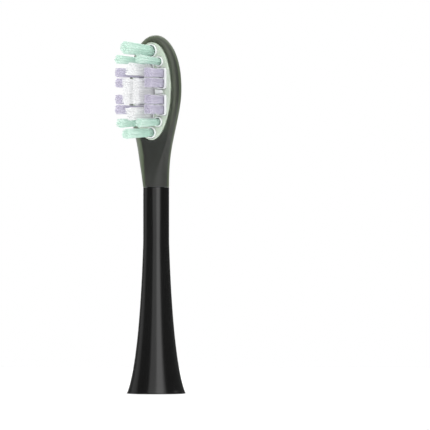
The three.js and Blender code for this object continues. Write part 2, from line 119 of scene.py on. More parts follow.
def tint(name, description, default):
    return FloatVectorProperty(
        name=name, description=description, default=default, subtype="COLOR", size=3, min=0, max=1
    )


class BrushSleeveSettings(bpy.types.PropertyGroup):
    """Sizes of the glossy neck sleeve."""

    flare_height: length("Flare height", "Height at which the neck becomes straight", 33 * MM)
    lower_pull: length("Lower pull", "Height of the flare curve's lower handle", 6.75 * MM)
    lower_share: ratio("Lower share", "How far out of the neck the lower handle stands", 0.22)
    upper_share: ratio("Upper share", "Height of the upper handle as a share of the flare", 0.86)
    upper_out: length("Upper handle", "How far the upper handle stands out of the neck", 0.16 * MM)
    wall: length("Wall", "Thickness of the sleeve's wall", 0.85 * MM)
    rim_round: length("Rim round", "Radius of the rounded rim", 0.15 * MM)
    turns: IntProperty(name="Turns", description="Segments round the sleeve", default=128, min=16)


class BrushHeadSettings(bpy.types.PropertyGroup):
    """Sizes of the overmoulded head."""

    rise: length("Rise", "From the sleeve to the head's widest section", 21.2 * MM)
    fullness: ratio("Crown fullness", "Exponent of the crown's outline", 2.25, 6)
    slenderness: ratio("Slenderness", "Above 1 keeps the neck narrow for longer", 1.18, 3)
    forward: length("Forward", "Centre of the section in front of the neck's axis", 0.24 * MM)
    shoulder: ratio("Shoulder", "How much squarer the front of the flanges is", 1.8, 6)
    ramp_foot: length("Ramp foot", "Above the sleeve, where the face leaves the neck", 1 * MM)
    ramp: length("Ramp", "Height over which the face becomes flat", 9.2 * MM)
    edge_round: length("Edge round", "Roundness of the edge of the face", 0.55 * MM)
    groove_width: length("Groove width", "Gap round the soft bed", 0.2 * MM)
    groove_depth: length("Groove depth", "Depth of the gap round the soft bed", 0.5 * MM)
    window_width: length("Window width", "Width of the long window in the back", 2.5 * MM)
    window_length: length("Window length", "Length of the window in the back", 17.85 * MM)
    window_drop: length("Window drop", "Window's centre below the bed's", 1.45 * MM)
    window_depth: length("Window depth", "Depth of the window", 0.45 * MM)
    around: IntProperty(name="Around", description="Points round the head", default=240, min=24)
    along: IntProperty(name="Along", description="Rings up the head", default=200, min=24)


class BrushBristleSettings(bpy.types.PropertyGroup):
    """Sizes of the nylon filaments."""

    diameter: length("Diameter", "Diameter of a filament", 0.17 * MM)
    spacing: length("Spacing", "Distance between neighbouring filaments", 0.178 * MM)
    wander: length("Wander", "How far a tip strays sideways", 0.05 * MM)
    uneven: length("Unevenness", "How much the lengths differ", 0.08 * MM)
    crown: length("Crown", "How much longer the middle of a tuft is than its rim", 0.12 * MM)
    fan: length("Fan", "How far a tuft spreads beyond its end's outline", 0.06 * MM)
    extra: length("Extra", "How much longer the filaments are than the plain tuft", 0.2 * MM)
    seed: IntProperty(name="Seed", description="Seed of the filaments' variation", default=7)


class BrushColourSettings(bpy.types.PropertyGroup):
    """Colours of the finishes, and the painted light on the core's tray rim."""

    sleeve: tint("Sleeve", "Glossy sleeve", (0.003, 0.003, 0.003))
    core: tint("Core", "Rigid core", (0.006, 0.006, 0.006))
    rubber: tint("Overmould", "Smoke rubber's surface", (0.33, 0.34, 0.325))
    # Painted light: the core is black all over; this pale colour on its tray rim stands in for the
    # pale bed's light coming through the clear lip.
    rim: tint("Painted tray rim light", "Rim of the core's tray, under the lip", (0.45, 0.45, 0.42))
    smoke: tint("Smoke", "Light that comes through the rubber", (0.42, 0.54, 0.29))
    bed: tint("Soft bed", "Soft bed", (0.52, 0.59, 0.5))
    carrier: tint("Carriers", "White carriers", (0.77, 0.79, 0.79))
    mint_root: tint("Mint root", "Mint filaments at the root", (0.43, 0.615, 0.53))
    mint_tip: tint("Mint tip", "Mint filaments at the tip", (0.52, 0.67, 0.595))
    lilac_root: tint("Lilac root", "Lilac filaments at the root", (0.45, 0.425, 0.53))
    lilac_tip: tint("Lilac tip", "Lilac filaments at the tip", (0.49, 0.465, 0.56))
    white_root: tint("White root", "White filaments at the root", (0.67, 0.675, 0.685))
    white_tip: tint("White tip", "White filaments at the tip", (0.72, 0.725, 0.73))
    socket: tint("Socket", "Natural acetal socket", (0.66, 0.66, 0.6))
    steel: tint("Steel", "Spring steel", (0.5, 0.51, 0.52))
    floor: tint("Floor", "Pale floor", (0.9, 0.9, 0.9))


class BrushStageSettings(bpy.types.PropertyGroup):
    """Camera, floor and lights."""

    azimuth: FloatProperty(
        name="Azimuth", description="Camera's turn round the object", default=math.radians(36),
        subtype="ANGLE",
    )
    distance: length("Distance", "From the camera to the object", 1556 * MM)
    focal: FloatProperty(name="Lens", description="Focal length in millimetres", default=600)
    aside: length("Aside", "How far the view's middle lies right of the neck", 12.79 * MM)
    aim_height: length("Aim height", "Height of the view's middle", 38.78 * MM)
    floor_radius: length("Floor radius", "Radius of the floor", 260 * MM)
    floor_opening: length(
        "Floor opening", "Radius of the hole under the sleeve, which lights it from below", 5 * MM
    )


# ---------------------------------------------------------------- curves and sections


def smooth(t):
    t = np.clip(t, 0, 1)
    return t * t * (3 - 2 * t)


def lerp(a, b, t):
    return a + (b - a) * t


def flare_curve(sleeve, count):
    """Radius and height of the sleeve's outside, from its rim to where the neck is straight."""
    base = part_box("neck_sleeve")[1].x
    heights = (0, sleeve.lower_pull, sleeve.upper_share * sleeve.flare_height, sleeve.flare_height)
    lower = lerp(NECK_RADIUS, base, sleeve.lower_share)
    radii = (base, lower, NECK_RADIUS + sleeve.upper_out, NECK_RADIUS)
    t = np.linspace(0, 1, count)
    weights = ((1 - t) ** 3, 3 * t * (1 - t) ** 2, 3 * t * t * (1 - t), t**3)
    radius = sum(w * r for w, r in zip(weights, radii))
    height = sum(w * h for w, h in zip(weights, heights))
    return list(zip(radius, height))


def face_height(head, z):
    """How far forward the head's front may reach at a height, from the neck's axis."""
    foot = SLEEVE_TOP + head.ramp_foot
    share = smooth((z - foot) / head.ramp)
    return lerp(NECK_RADIUS + 0.02 * MM, FACE, share)


def soft_lower(a, b, roundness):
    """The lower of two heights, with the corner where they meet rounded."""
    share = np.clip(0.5 + 0.5 * (b - a) / roundness, 0, 1)
    return lerp(b, a, share) - roundness * share * (1 - share)


def head_section(head, z, count):
    """Evenly spaced (x, y) points round the head at a height, starting behind the neck."""
    widest = SLEEVE_TOP + head.rise
    climb = np.clip((z - SLEEVE_TOP) / head.rise, 0, 1)
    dome = np.clip((z - widest) / (HEAD_HIGH.z + 0.04 * MM - widest), 0, 1)
    close = math.sqrt(max(0, 1 - dome**head.fullness))
    swell = smooth(climb**head.slenderness)
    depth = HEAD_HIGH.y - NECK_Y + head.forward
    half_width = lerp(NECK_RADIUS, HEAD_HIGH.x, swell) * close
    half_depth = lerp(NECK_RADIUS, depth, swell) * close
    shift = head.forward * smooth(2.2 * climb)
    square = 2 + head.shoulder * math.sin(math.pi * climb)
    angle = np.linspace(0, 2 * math.pi, 721)
    side, out = np.sin(angle), -np.cos(angle)
    power = np.where(out > 0, 2 / square, 1)
    x = half_width * np.sign(side) * np.abs(side) ** power
    n = half_depth * np.sign(out) * np.abs(out) ** power + shift
    roundness = min(head.edge_round, 0.6 * half_depth)
    n = soft_lower(n, face_height(head, z), roundness)
    step = np.hypot(np.diff(x), np.diff(n))
    run = np.concatenate(([0], np.cumsum(step)))
    at = np.linspace(0, run[-1], count + 1)
    return np.interp(at, run, x), NECK_Y - np.interp(at, run, n)


def bed_distance(x, z):
    """Roughly how far outside the soft bed's outline a point of the face is."""
    half_width = (BED_HIGH.x - BED_LOW.x) / 2
    half_height = (BED_HIGH.z - BED_LOW.z) / 2
    v = (z - (BED_HIGH.z + BED_LOW.z) / 2) / half_height
    u = x / (half_width * (1 + BED_EGG * v) / 1.002)
    ring = math.hypot(u, v)
    slope = math.hypot(u / half_width, v / half_height) / max(ring, 1e-6)
    return (ring - 1) / max(slope, 1e-6)


def window_distance(head, x, z):
    """How far outside the back window's outline a point of the back is."""
    centre = (BED_HIGH.z + BED_LOW.z) / 2 - head.window_drop
    straight = (head.window_length - head.window_width) / 2
    past = max(abs(z - centre) - straight, 0)
    return math.hypot(x, past) - head.window_width / 2


# ---------------------------------------------------------------- mesh helpers


def finished(bm, name, body, slot, *replaced, shade_angle=None):
    """Turns a bmesh into a piece that rides on a body and stands for CAD nodes."""
    mesh = bpy.data.meshes.new(name)
    bm.to_mesh(mesh)
    bm.free()
    mesh.shade_smooth()
    if shade_angle:
        mesh.set_sharp_from_angle(angle=shade_angle)
    piece = bpy.data.objects.new(name, mesh)
    bpy.context.scene.collection.objects.link(piece)
    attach(piece, body)
    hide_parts(*replaced)
    return piece


def body_of_node(node):
    bodies = frame["record"]["behaviour"]["bodies"]
    return next(body for body, nodes in bodies.items() if node in nodes)


def slot_of_node(node):
    parts = frame["record"]["subparts"]
    return next(part["material_slot"] for part in parts if part["node"] == node)


def softened_copy(node, name, width, segments=3):
    """A CAD node's own shape with its triangles merged and its edges rounded."""
    bm = bmesh.new()
    bm.from_mesh(frame["nodes"][node].data)
    bmesh.ops.remove_doubles(bm, verts=bm.verts, dist=0.002 * MM)
    flat = math.radians(1)
    bmesh.ops.dissolve_limit(bm, angle_limit=flat, verts=bm.verts, edges=bm.edges)
    corner = math.radians(35)
    sharp = [e for e in bm.edges if len(e.link_faces) == 2 and e.calc_face_angle(0) > corner]
    bmesh.ops.bevel(
        bm, geom=sharp, offset=width, offset_type="OFFSET", segments=segments, profile=0.5,
        affect="EDGES", clamp_overlap=True, material=-1,
    )
    return finished(
        bm, name, body_of_node(node), slot_of_node(node), node, shade_angle=math.radians(50)
    )


def dress(piece, *materials):
    piece.data.materials.clear()
    for material in materials:
        piece.data.materials.append(material)


# ---------------------------------------------------------------- materials


def node_at(tree, kind, **settings):
    node = tree.nodes.new(kind)
    for key, value in settings.items():
        setattr(node, key, value)
    return node


def new_group(name, inputs, outputs):
    """An empty shader group with (name, socket type, default) inputs and (name, type) outputs."""
    tree = bpy.data.node_groups.new(name, "ShaderNodeTree")
    for title, kind, default in inputs:
        socket = tree.interface.new_socket(name=title, in_out="INPUT", socket_type=kind)
        socket.default_value = default
    for title, kind in outputs:
        tree.interface.new_socket(name=title, in_out="OUTPUT", socket_type=kind)
    return tree, tree.nodes.new("NodeGroupInput"), tree.nodes.new("NodeGroupOutput")


def moulded_surface_group():
    """Fine grain, cloudy colour and uneven gloss, as a moulded surface has."""
    tree, given, result = new_group(
        "Moulded surface",
        [
            ("Colour", "NodeSocketColor", (0.5, 0.5, 0.5, 1)),
            ("Cloudiness", "NodeSocketFloat", 0.06),
            ("Roughness", "NodeSocketFloat", 0.4),
            ("Unevenness", "NodeSocketFloat", 0.06),
            ("Grain scale", "NodeSocketFloat", 9000.0),
            ("Grain height", "NodeSocketFloat", 0.00001),
        ],
        [
            ("Colour", "NodeSocketColor"),
            ("Roughness", "NodeSocketFloat"),
            ("Normal", "NodeSocketVector"),
        ],
    )
    link = tree.links.new
    place = node_at(tree, "ShaderNodeTexCoord")
    clouds = node_at(tree, "ShaderNodeTexNoise")
    clouds.inputs["Scale"].default_value = 420
    clouds.inputs["Detail"].default_value = 4
    grain = node_at(tree, "ShaderNodeTexNoise")
    grain.inputs["Detail"].default_value = 2
    link(place.outputs["Object"], clouds.inputs["Vector"])
    link(place.outputs["Object"], grain.inputs["Vector"])
    link(given.outputs["Grain scale"], grain.inputs["Scale"])

    centred = node_at(tree, "ShaderNodeMath", operation="SUBTRACT")
    centred.inputs[1].default_value = 0.5
    link(clouds.outputs["Fac"], centred.inputs[0])
    scaled = node_at(tree, "ShaderNodeMath", operation="MULTIPLY")
    link(centred.outputs[0], scaled.inputs[0])
    link(given.outputs["Cloudiness"], scaled.inputs[1])
    brightness = node_at(tree, "ShaderNodeMath", operation="MULTIPLY_ADD")
    brightness.inputs[1].default_value = 4.0
    brightness.inputs[2].default_value = 1.0
    link(scaled.outputs[0], brightness.inputs[0])
    tinted = node_at(tree, "ShaderNodeVectorMath", operation="SCALE")
    link(given.outputs["Colour"], tinted.inputs[0])
    link(brightness.outputs[0], tinted.inputs["Scale"])
    link(tinted.outputs[0], result.inputs["Colour"])

    gloss = node_at(tree, "ShaderNodeMath", operation="MULTIPLY_ADD")
    link(centred.outputs[0], gloss.inputs[0])
    link(given.outputs["Unevenness"], gloss.inputs[1])
    link(given.outputs["Roughness"], gloss.inputs[2])
    link(gloss.outputs[0], result.inputs["Roughness"])

    bump = node_at(tree, "ShaderNodeBump")
    bump.inputs["Strength"].default_value = 1
    link(grain.outputs["Fac"], bump.inputs["Height"])
    link(given.outputs["Grain height"], bump.inputs["Distance"])
    link(bump.outputs["Normal"], result.inputs["Normal"])
    return tree


def filament_group():
    """Colour of a nylon filament: root to tip, a little different from one to the next."""
    tree, given, result = new_group(
        "Nylon filament",
        [
            ("Root", "NodeSocketColor", (0.5, 0.5, 0.5, 1)),
            ("Tip", "NodeSocketColor", (0.8, 0.8, 0.8, 1)),
            ("Along", "NodeSocketFloat", 0.5),
            ("Shade", "NodeSocketFloat", 0.5),
            ("Spread", "NodeSocketFloat", 0.1),
        ],
        [("Colour", "NodeSocketColor"), ("Roughness", "NodeSocketFloat")],
    )
    link = tree.links.new
    rise = node_at(tree, "ShaderNodeMapRange", interpolation_type="SMOOTHSTEP")
    rise.inputs["From Min"].default_value = 0.25
    link(given.outputs["Along"], rise.inputs["Value"])
    mix = node_at(tree, "ShaderNodeMix", data_type="RGBA")
    link(rise.outputs["Result"], mix.inputs["Factor"])
    link(given.outputs["Root"], mix.inputs["A"])
    link(given.outputs["Tip"], mix.inputs["B"])
    centred = node_at(tree, "ShaderNodeMath", operation="SUBTRACT")
    centred.inputs[1].default_value = 0.5
    link(given.outputs["Shade"], centred.inputs[0])
    varied = node_at(tree, "ShaderNodeMath", operation="MULTIPLY_ADD")
    varied.inputs[2].default_value = 1
    link(centred.outputs[0], varied.inputs[0])
    link(given.outputs["Spread"], varied.inputs[1])
    scaled = node_at(tree, "ShaderNodeVectorMath", operation="SCALE")
    link(mix.outputs["Result"], scaled.inputs[0])
    link(varied.outputs[0], scaled.inputs["Scale"])
    link(scaled.outputs[0], result.inputs["Colour"])
    rough = node_at(tree, "ShaderNodeMapRange")
    rough.inputs["To Min"].default_value = 0.34
    rough.inputs["To Max"].default_value = 0.52
    link(given.outputs["Shade"], rough.inputs["Value"])
    link(rough.outputs["Result"], result.inputs["Roughness"])
    return tree


def group_named(name, maker):
    return bpy.data.node_groups.get(name) or maker()


def new_material(name, colour, **constants):
    """A Principled material with constant sockets set; returns it with its tree and shader."""
    material = bpy.data.materials.new(name)
    material.use_nodes = True
    material.diffuse_color = (*colour, 1)
    tree = material.node_tree
    shader = tree.nodes["Principled BSDF"]
    shader.inputs["Base Color"].default_value = (*colour, 1)
    for socket, value in constants.items():
        shader.inputs[socket.replace("_", " ")].default_value = value
    return material, tree, shader


def moulded(name, colour, cloudiness, roughness, unevenness, grain, height, **constants):
    """A moulded material on Object coordinates."""
    material, tree, shader = new_material(name, colour, **constants)
    surface = node_at(tree, "ShaderNodeGroup")
    surface.node_tree = group_named("Moulded surface", moulded_surface_group)
    surface.inputs["Colour"].default_value = (*colour, 1)
    surface.inputs["Cloudiness"].default_value = cloudiness
    surface.inputs["Roughness"].default_value = roughness
    surface.inputs["Unevenness"].default_value = unevenness
    surface.inputs["Grain scale"].default_value = grain
    surface.inputs["Grain height"].default_value = height
    tree.links.new(surface.outputs["Colour"], shader.inputs["Base Color"])
    tree.links.new(surface.outputs["Roughness"], shader.inputs["Roughness"])
    tree.links.new(surface.outputs["Normal"], shader.inputs["Normal"])
    return material, tree, surface


def gloss_black(colours):
    return moulded(
        "Gloss black", colours.sleeve, cloudiness=0.03, roughness=0.2, unevenness=0.04,
        grain=2600, height=0.0000006,
    )[0]


def core_black(colours):
    """Black core with painted light along the tray's rim: a pale band that stands in for the pale
    bed's light coming through the clear lip, so that the lip over it looks olive.
    """
    material, tree, surface = moulded(
        "Core black", colours.core, cloudiness=0.05, roughness=0.42, unevenness=0.1,
        grain=12000, height=0.000004,
    )
    # Painted light: a pale band on the core, behind the bed's face and above its lower end,
    # standing in for the pale bed's light coming through the clear lip.
    place = node_at(tree, "ShaderNodeTexCoord")
    axes = node_at(tree, "ShaderNodeSeparateXYZ")
    tree.links.new(place.outputs["Object"], axes.inputs["Vector"])
    near = node_at(tree, "ShaderNodeMapRange", interpolation_type="SMOOTHSTEP")
    near.inputs["From Min"].default_value = BED_LOW.y + PAINTED_GLOW_FAR
    near.inputs["From Max"].default_value = BED_LOW.y + PAINTED_GLOW_NEAR
    tree.links.new(axes.outputs["Y"], near.inputs["Value"])
    high = node_at(tree, "ShaderNodeMapRange", interpolation_type="SMOOTHSTEP")
    high.inputs["From Min"].default_value = BED_LOW.z + PAINTED_GLOW_FOOT
    high.inputs["From Max"].default_value = BED_LOW.z + PAINTED_GLOW_HEAD
    tree.links.new(axes.outputs["Z"], high.inputs["Value"])
    rim = node_at(tree, "ShaderNodeMath", operation="MULTIPLY")
    tree.links.new(near.outputs["Result"], rim.inputs[0])
    tree.links.new(high.outputs["Result"], rim.inputs[1])
    mix = node_at(tree, "ShaderNodeMix", data_type="RGBA")
    mix.inputs["A"].default_value = (*colours.core, 1)
    mix.inputs["B"].default_value = (*colours.rim, 1)
    tree.links.new(rim.outputs["Value"], mix.inputs["Factor"])
    tree.links.new(mix.outputs["Result"], surface.inputs["Colour"])
    return material


def window_group():
    """Colour of the smoke rubber, with the core's own colour where the window leaves it bare."""
    tree, given, result = new_group(
        "Window mask",
        [
            ("Outside", "NodeSocketFloat", 1.0),
            ("Rubber", "NodeSocketColor", (0.3, 0.3, 0.3, 1)),
            ("Core", "NodeSocketColor", (0.008, 0.008, 0.008, 1)),
        ],
        [("Colour", "NodeSocketColor")],
    )
    step = node_at(tree, "ShaderNodeMapRange", interpolation_type="SMOOTHSTEP")
    step.inputs["From Min"].default_value = 0.0
    step.inputs["From Max"].default_value = -0.03
    tree.links.new(given.outputs["Outside"], step.inputs["Value"])
    mix = node_at(tree, "ShaderNodeMix", data_type="RGBA")
    tree.links.new(step.outputs["Result"], mix.inputs["Factor"])
    tree.links.new(given.outputs["Rubber"], mix.inputs["A"])
    tree.links.new(given.outputs["Core"], mix.inputs["B"])
    tree.links.new(mix.outputs["Result"], result.inputs["Colour"])
    return tree


def smoke_rubber(colours):
    """Smoke elastomer: dark over the core, olive where light comes through it."""
    material, tree, surface = moulded(
        "Smoke rubber", colours.rubber, cloudiness=0.05, roughness=0.34, unevenness=0.08,
        grain=14000, height=0.000002,
        Transmission_Weight=0.94, IOR=1.02, Coat_Weight=1.0, Coat_Roughness=0.46, Coat_IOR=1.42,
    )
    masked = node_at(tree, "ShaderNodeGroup")
    masked.node_tree = group_named("Window mask", window_group)
    masked.inputs["Rubber"].default_value = (*colours.rubber, 1)
    masked.inputs["Core"].default_value = (*colours.core, 1)
    source = node_at(tree, "ShaderNodeAttribute", attribute_name="window")
    tree.links.new(source.outputs["Fac"], masked.inputs["Outside"])
    tree.links.new(masked.outputs["Colour"], surface.inputs["Colour"])
    smoke = node_at(tree, "ShaderNodeVolumeAbsorption")
    smoke.inputs["Color"].default_value = (*colours.smoke, 1)
    smoke.inputs["Density"].default_value = SMOKE_DENSITY
    tree.links.new(smoke.outputs["Volume"], tree.nodes["Material Output"].inputs["Volume"])
    return material


def pale_rubber(colours):
    return moulded(
        "Pale rubber", colours.bed, cloudiness=0.05, roughness=0.42, unevenness=0.1,
        grain=14000, height=0.000002,
        Subsurface_Weight=0.25, Subsurface_Scale=0.6 * MM, Subsurface_Radius=(0.8, 1.0, 0.8),
    )[0]


def carrier_white(colours):
    return moulded(
        "Carrier white", colours.carrier, cloudiness=0.02, roughness=0.32, unevenness=0.08,
        grain=9000, height=0.000001,
        Subsurface_Weight=0.2, Subsurface_Scale=0.5 * MM, Subsurface_Radius=(1.0, 1.0, 1.0),
    )[0]


def socket_acetal(colours):
    return moulded(
        "Socket acetal", colours.socket, cloudiness=0.04, roughness=0.38, unevenness=0.1,
        grain=9000, height=0.000003,
    )[0]


def spring_steel(colours):
    return moulded(
        "Spring steel", colours.steel, cloudiness=0.05, roughness=0.28, unevenness=0.1,
        grain=3000, height=0.000001, Metallic=1.0,
    )[0]


def nylon(name, root, tip):
    """Filament finish, solid to the camera but partly open to bounced light."""
    material, tree, shader = new_material(
        name, tip, Subsurface_Weight=0.35, Subsurface_Scale=0.3 * MM,
        Subsurface_Radius=(1.0, 1.0, 1.0), IOR=1.53,
    )
    filament = node_at(tree, "ShaderNodeGroup")
    filament.node_tree = group_named("Nylon filament", filament_group)
    filament.inputs["Root"].default_value = (*root, 1)
    filament.inputs["Tip"].default_value = (*tip, 1)
    for title in ("Along", "Shade"):
        source = node_at(tree, "ShaderNodeAttribute", attribute_name=title.lower())
        tree.links.new(source.outputs["Fac"], filament.inputs[title])
    tree.links.new(filament.outputs["Colour"], shader.inputs["Base Color"])
    tree.links.new(filament.outputs["Roughness"], shader.inputs["Roughness"])
    path = node_at(tree, "ShaderNodeLightPath")
    solid = node_at(tree, "ShaderNodeMapRange")
    solid.inputs["To Min"].default_value = BOUNCE_OPACITY
    solid.inputs["To Max"].default_value = 1
    tree.links.new(path.outputs["Is Camera Ray"], solid.inputs["Value"])
    tree.links.new(solid.outputs["Result"], shader.inputs["Alpha"])
    return material


def pale_floor(colours):
    """Pale floor, seen only from above, so that it never hides the underside."""
    material, tree, shader = new_material("Pale floor", colours.floor, Roughness=0.85)
    side = node_at(tree, "ShaderNodeNewGeometry")
    above = node_at(tree, "ShaderNodeMath", operation="SUBTRACT")
    above.inputs[0].default_value = 1
    tree.links.new(side.outputs["Backfacing"], above.inputs[1])
    tree.links.new(above.outputs["Value"], shader.inputs["Alpha"])
    return material


# ---------------------------------------------------------------- sleeve


def add_sleeve(sleeve):
    """Spins the sleeve's wall: flared outside, rounded rim, and the inside one wall in."""
    outside = flare_curve(sleeve, 48)
    soft = sleeve.rim_round
    rim_radius = outside[0][0]
    rim = [
        (rim_radius - soft + soft * math.sin(a), soft - soft * math.cos(a))
        for a in np.linspace(0, math.pi / 2, 6)
    ]
    outside = [(r, h) for r, h in outside if h > soft]
    edge = 0.02 * MM
    outside.append((NECK_RADIUS, SLEEVE_TOP - edge))
    outside.append((NECK_RADIUS - edge * 0.3, SLEEVE_TOP - edge * 0.3))
    outside.append((NECK_RADIUS - edge, SLEEVE_TOP))
    inside = [(r - sleeve.wall, h) for r, h in flare_curve(sleeve, 32) if h > soft]
    inner_rim = rim_radius - sleeve.wall
    inside = [(inner_rim + soft * 0.7, 0), (inner_rim, soft * 0.7)] + inside
    inside.append((NECK_RADIUS - sleeve.wall, SLEEVE_TOP))
    profile = rim + outside + list(reversed(inside))
    bm = bmesh.new()
    points = [bm.verts.new((r, 0, h)) for r, h in profile]
    for a, b in zip(points, points[1:] + points[:1]):
        bm.edges.new((a, b))
    bmesh.ops.spin(
        bm, geom=bm.verts[:] + bm.edges[:], cent=(0, 0, 0), axis=(0, 0, 1),
        angle=2 * math.pi, steps=sleeve.turns, use_merge=True,
    )
    bmesh.ops.remove_doubles(bm, verts=bm.verts, dist=0.001 * MM)
    bmesh.ops.recalc_face_normals(bm, faces=bm.faces)
    bmesh.ops.translate(bm, verts=bm.verts, vec=(0, NECK_Y, 0))
    return finished(
        bm, "glossy_sleeve", "head", "gloss_black", "neck_sleeve", shade_angle=math.radians(40)
    )


# ---------------------------------------------------------------- overmoulded head


def add_overmould(head):
    """Lofts the head in one skin, then sinks the gap round the bed and the window in the back."""
    bm = bmesh.new()
    bmesh.ops.create_grid(bm, x_segments=head.around, y_segments=head.along, size=0.5)
    bottom = SLEEVE_TOP + 0.03 * MM
    sections = {}
    for vert in bm.verts:
        column = round((vert.co.x + 0.5) * head.around)
        row = round((vert.co.y + 0.5) * head.along)
        if row not in sections:
            z = lerp(bottom, HEAD_HIGH.z, math.sin(row / head.along * math.pi / 2))
            sections[row] = (z, *head_section(head, z, head.around))
        z, xs, ys = sections[row]
        vert.co = (xs[column], ys[column], z)
    bmesh.ops.remove_doubles(bm, verts=bm.verts, dist=0.004 * MM)
    bmesh.ops.holes_fill(bm, edges=bm.edges, sides=0)
    bmesh.ops.recalc_face_normals(bm, faces=bm.faces)
    for vert in bm.verts:
        x, y, z = vert.co
        if y < NECK_Y - 0.5 * MM:
            width = head.groove_width * (1 + 0.9 * smooth((z - BED_HIGH.z + 5 * MM) / (5 * MM)))
            sunk = smooth((width - bed_distance(x, z)) / (0.6 * width))
            vert.co.y += float(sunk) * head.groove_depth
        elif y > NECK_Y + 1 * MM:
            outside = window_distance(head, x, z)
            sunk = smooth((0.05 * MM - outside) / (0.22 * MM))
            vert.co.y -= float(sunk) * head.window_depth
    window = bm.verts.layers.float.new("window")
    for vert in bm.verts:
        behind = vert.co.y > NECK_Y
        outside = window_distance(head, vert.co.x, vert.co.z) if behind else 1 * MM
        vert[window] = outside / MM
    return finished(
        bm, "soft_overmould", "head", "smoke_rubber", "head_overmould",
        shade_angle=math.radians(60),
    )


# ---------------------------------------------------------------- bristles


def ring_at(node, depth):
    """The (x, z) outline of a CAD tuft at a distance behind its front."""
    mesh = frame["nodes"][node].data
    front = min(v.co.y for v in mesh.vertices)
    levels = sorted({round(v.co.y - front, 6) for v in mesh.vertices})
    level = min(levels, key=lambda y: abs(y - depth))
    points = {
        (round(v.co.x, 6), round(v.co.z, 6))
        for v in mesh.vertices
        if abs(v.co.y - front - level) < 0.01 * MM
    }
    cx = sum(p[0] for p in points) / len(points)
    cz = sum(p[1] for p in points) / len(points)
    points.discard(min(points, key=lambda p: math.hypot(p[0] - cx, p[1] - cz)))
    ordered = sorted(points, key=lambda p: math.atan2(p[1] - cz, p[0] - cx))
    return ordered, front + level


def inside(point, outline, margin):
    """True if a point lies at least a margin inside a convex anticlockwise outline."""
    x, z = point
    for (ax, az), (bx, bz) in zip(outline, outline[1:] + outline[:1]):
        run = math.hypot(bx - ax, bz - az)
        if run > 0 and ((bx - ax) * (z - az) - (bz - az) * (x - ax)) / run < margin:
            return False
    return True


def extent(outline):
    xs, zs = [p[0] for p in outline], [p[1] for p in outline]
    return min(xs), max(xs), min(zs), max(zs)


def filament_template():
    """One straight six-sided filament with a rounded end: radius 1, length 1, up Z."""
    bm = bmesh.new()
    bmesh.ops.create_circle(bm, segments=6, radius=1)
    rows = [(0.22, 1), (0.42, 1), (0.62, 1), (0.82, 1), (0.984, 1), (0.994, 0.75), (1, 0.35)]
    edges = bm.edges[:]
    height, width = 0, 1
    for new_height, new_width in rows:
        made = bmesh.ops.extrude_edge_only(bm, edges=edges)["geom"]
        verts = [g for g in made if isinstance(g, bmesh.types.BMVert)]
        edges = [g for g in made if isinstance(g, bmesh.types.BMEdge)]
        bmesh.ops.translate(bm, verts=verts, vec=(0, 0, new_height - height))
        share = new_width / width
        bmesh.ops.scale(bm, verts=verts, vec=(share, share, 1))
        height, width = new_height, new_width
    bmesh.ops.contextual_create(bm, geom=edges)
    bottom = [e for e in bm.edges if all(abs(v.co.z) < 1e-6 for v in e.verts)]
    bmesh.ops.contextual_create(bm, geom=bottom)
    bmesh.ops.recalc_face_normals(bm, faces=bm.faces)
    mesh = bpy.data.meshes.new("filament_template")
    bm.to_mesh(mesh)
    bm.free()
    return mesh


def planted(outline, spacing, diameter, chance):
    """Points on a slightly uneven triangular grid inside an outline."""
    left, right, low, high = extent(outline)
    row_height = spacing * math.sqrt(3) / 2
    rows = int((high - low) / row_height) + 2
    columns = int((right - left) / spacing) + 2
    found = []
    for row in range(rows):
        for column in range(columns):
            x = left + (column + 0.5 * (row % 2)) * spacing
            z = low + row * row_height
            x += chance.uniform(-1, 1) * 0.1 * spacing
            z += chance.uniform(-1, 1) * 0.1 * spacing
            if inside((x, z), outline, 0.42 * diameter):
                found.append((x, z))
    return found


def add_tuft(node, bristles, template):
    """Replaces a CAD tuft by its filaments, which run straight from its root to its leaning end."""
    chance = random.Random(f"{bristles.seed} {node}")
    carrier = next(n for n in body_nodes(node) if n.endswith("_carrier"))
    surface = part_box(carrier)[0].y
    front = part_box(node)[0].y
    reach = surface - front
    base, _ = ring_at(node, reach)
    end, _ = ring_at(node, 0.07 * reach)
    base_box, end_box = extent(base), extent(end)
    roots = planted(base, bristles.spacing, bristles.diameter, chance)
    bm = bmesh.new()
    for _ in roots:
        bm.from_mesh(template)
    bm.verts.ensure_lookup_table()
    along = bm.verts.layers.float.new("along")
    shade = bm.verts.layers.float.new("shade")
    step = len(template.vertices)
    radius = bristles.diameter / 2
    for index, (x, z) in enumerate(roots):
        share_x = (x - base_box[0]) / (base_box[1] - base_box[0])
        share_z = (z - base_box[2]) / (base_box[3] - base_box[2])
        tip_x = lerp(end_box[0] - bristles.fan, end_box[1] + bristles.fan, share_x)
        tip_z = lerp(end_box[2] - bristles.fan, end_box[3] + bristles.fan, share_z)
        tip_x += chance.gauss(0, bristles.wander)
        tip_z += chance.gauss(0, bristles.wander)
        edge = max(abs(2 * share_x - 1), abs(2 * share_z - 1)) ** 3
        shorter = bristles.crown * edge + chance.gauss(0, bristles.uneven)
        tip_y = front - bristles.extra + shorter
        start = Vector((x, surface + BURIED, z))
        stop = Vector((tip_x, tip_y, tip_z))
        value = chance.random()
        for vert in bm.verts[index * step : (index + 1) * step]:
            t = vert.co.z
            point = start.lerp(stop, t)
            vert[along] = t
            vert[shade] = value
            vert.co = point + Vector((vert.co.x * radius, 0, vert.co.y * radius))
    bmesh.ops.recalc_face_normals(bm, faces=bm.faces)
    name = node.replace("_tuft", "_bristles")
    return finished(bm, name, body_of_node(node), slot_of_node(node), node)


def body_nodes(node):
    return frame["record"]["behaviour"]["bodies"][body_of_node(node)]


# ---------------------------------------------------------------- operators


class BrushOperator(bpy.types.Operator):
    """Shared settings of the brush head's operators"""

    bl_options = {"REGISTER", "UNDO"}


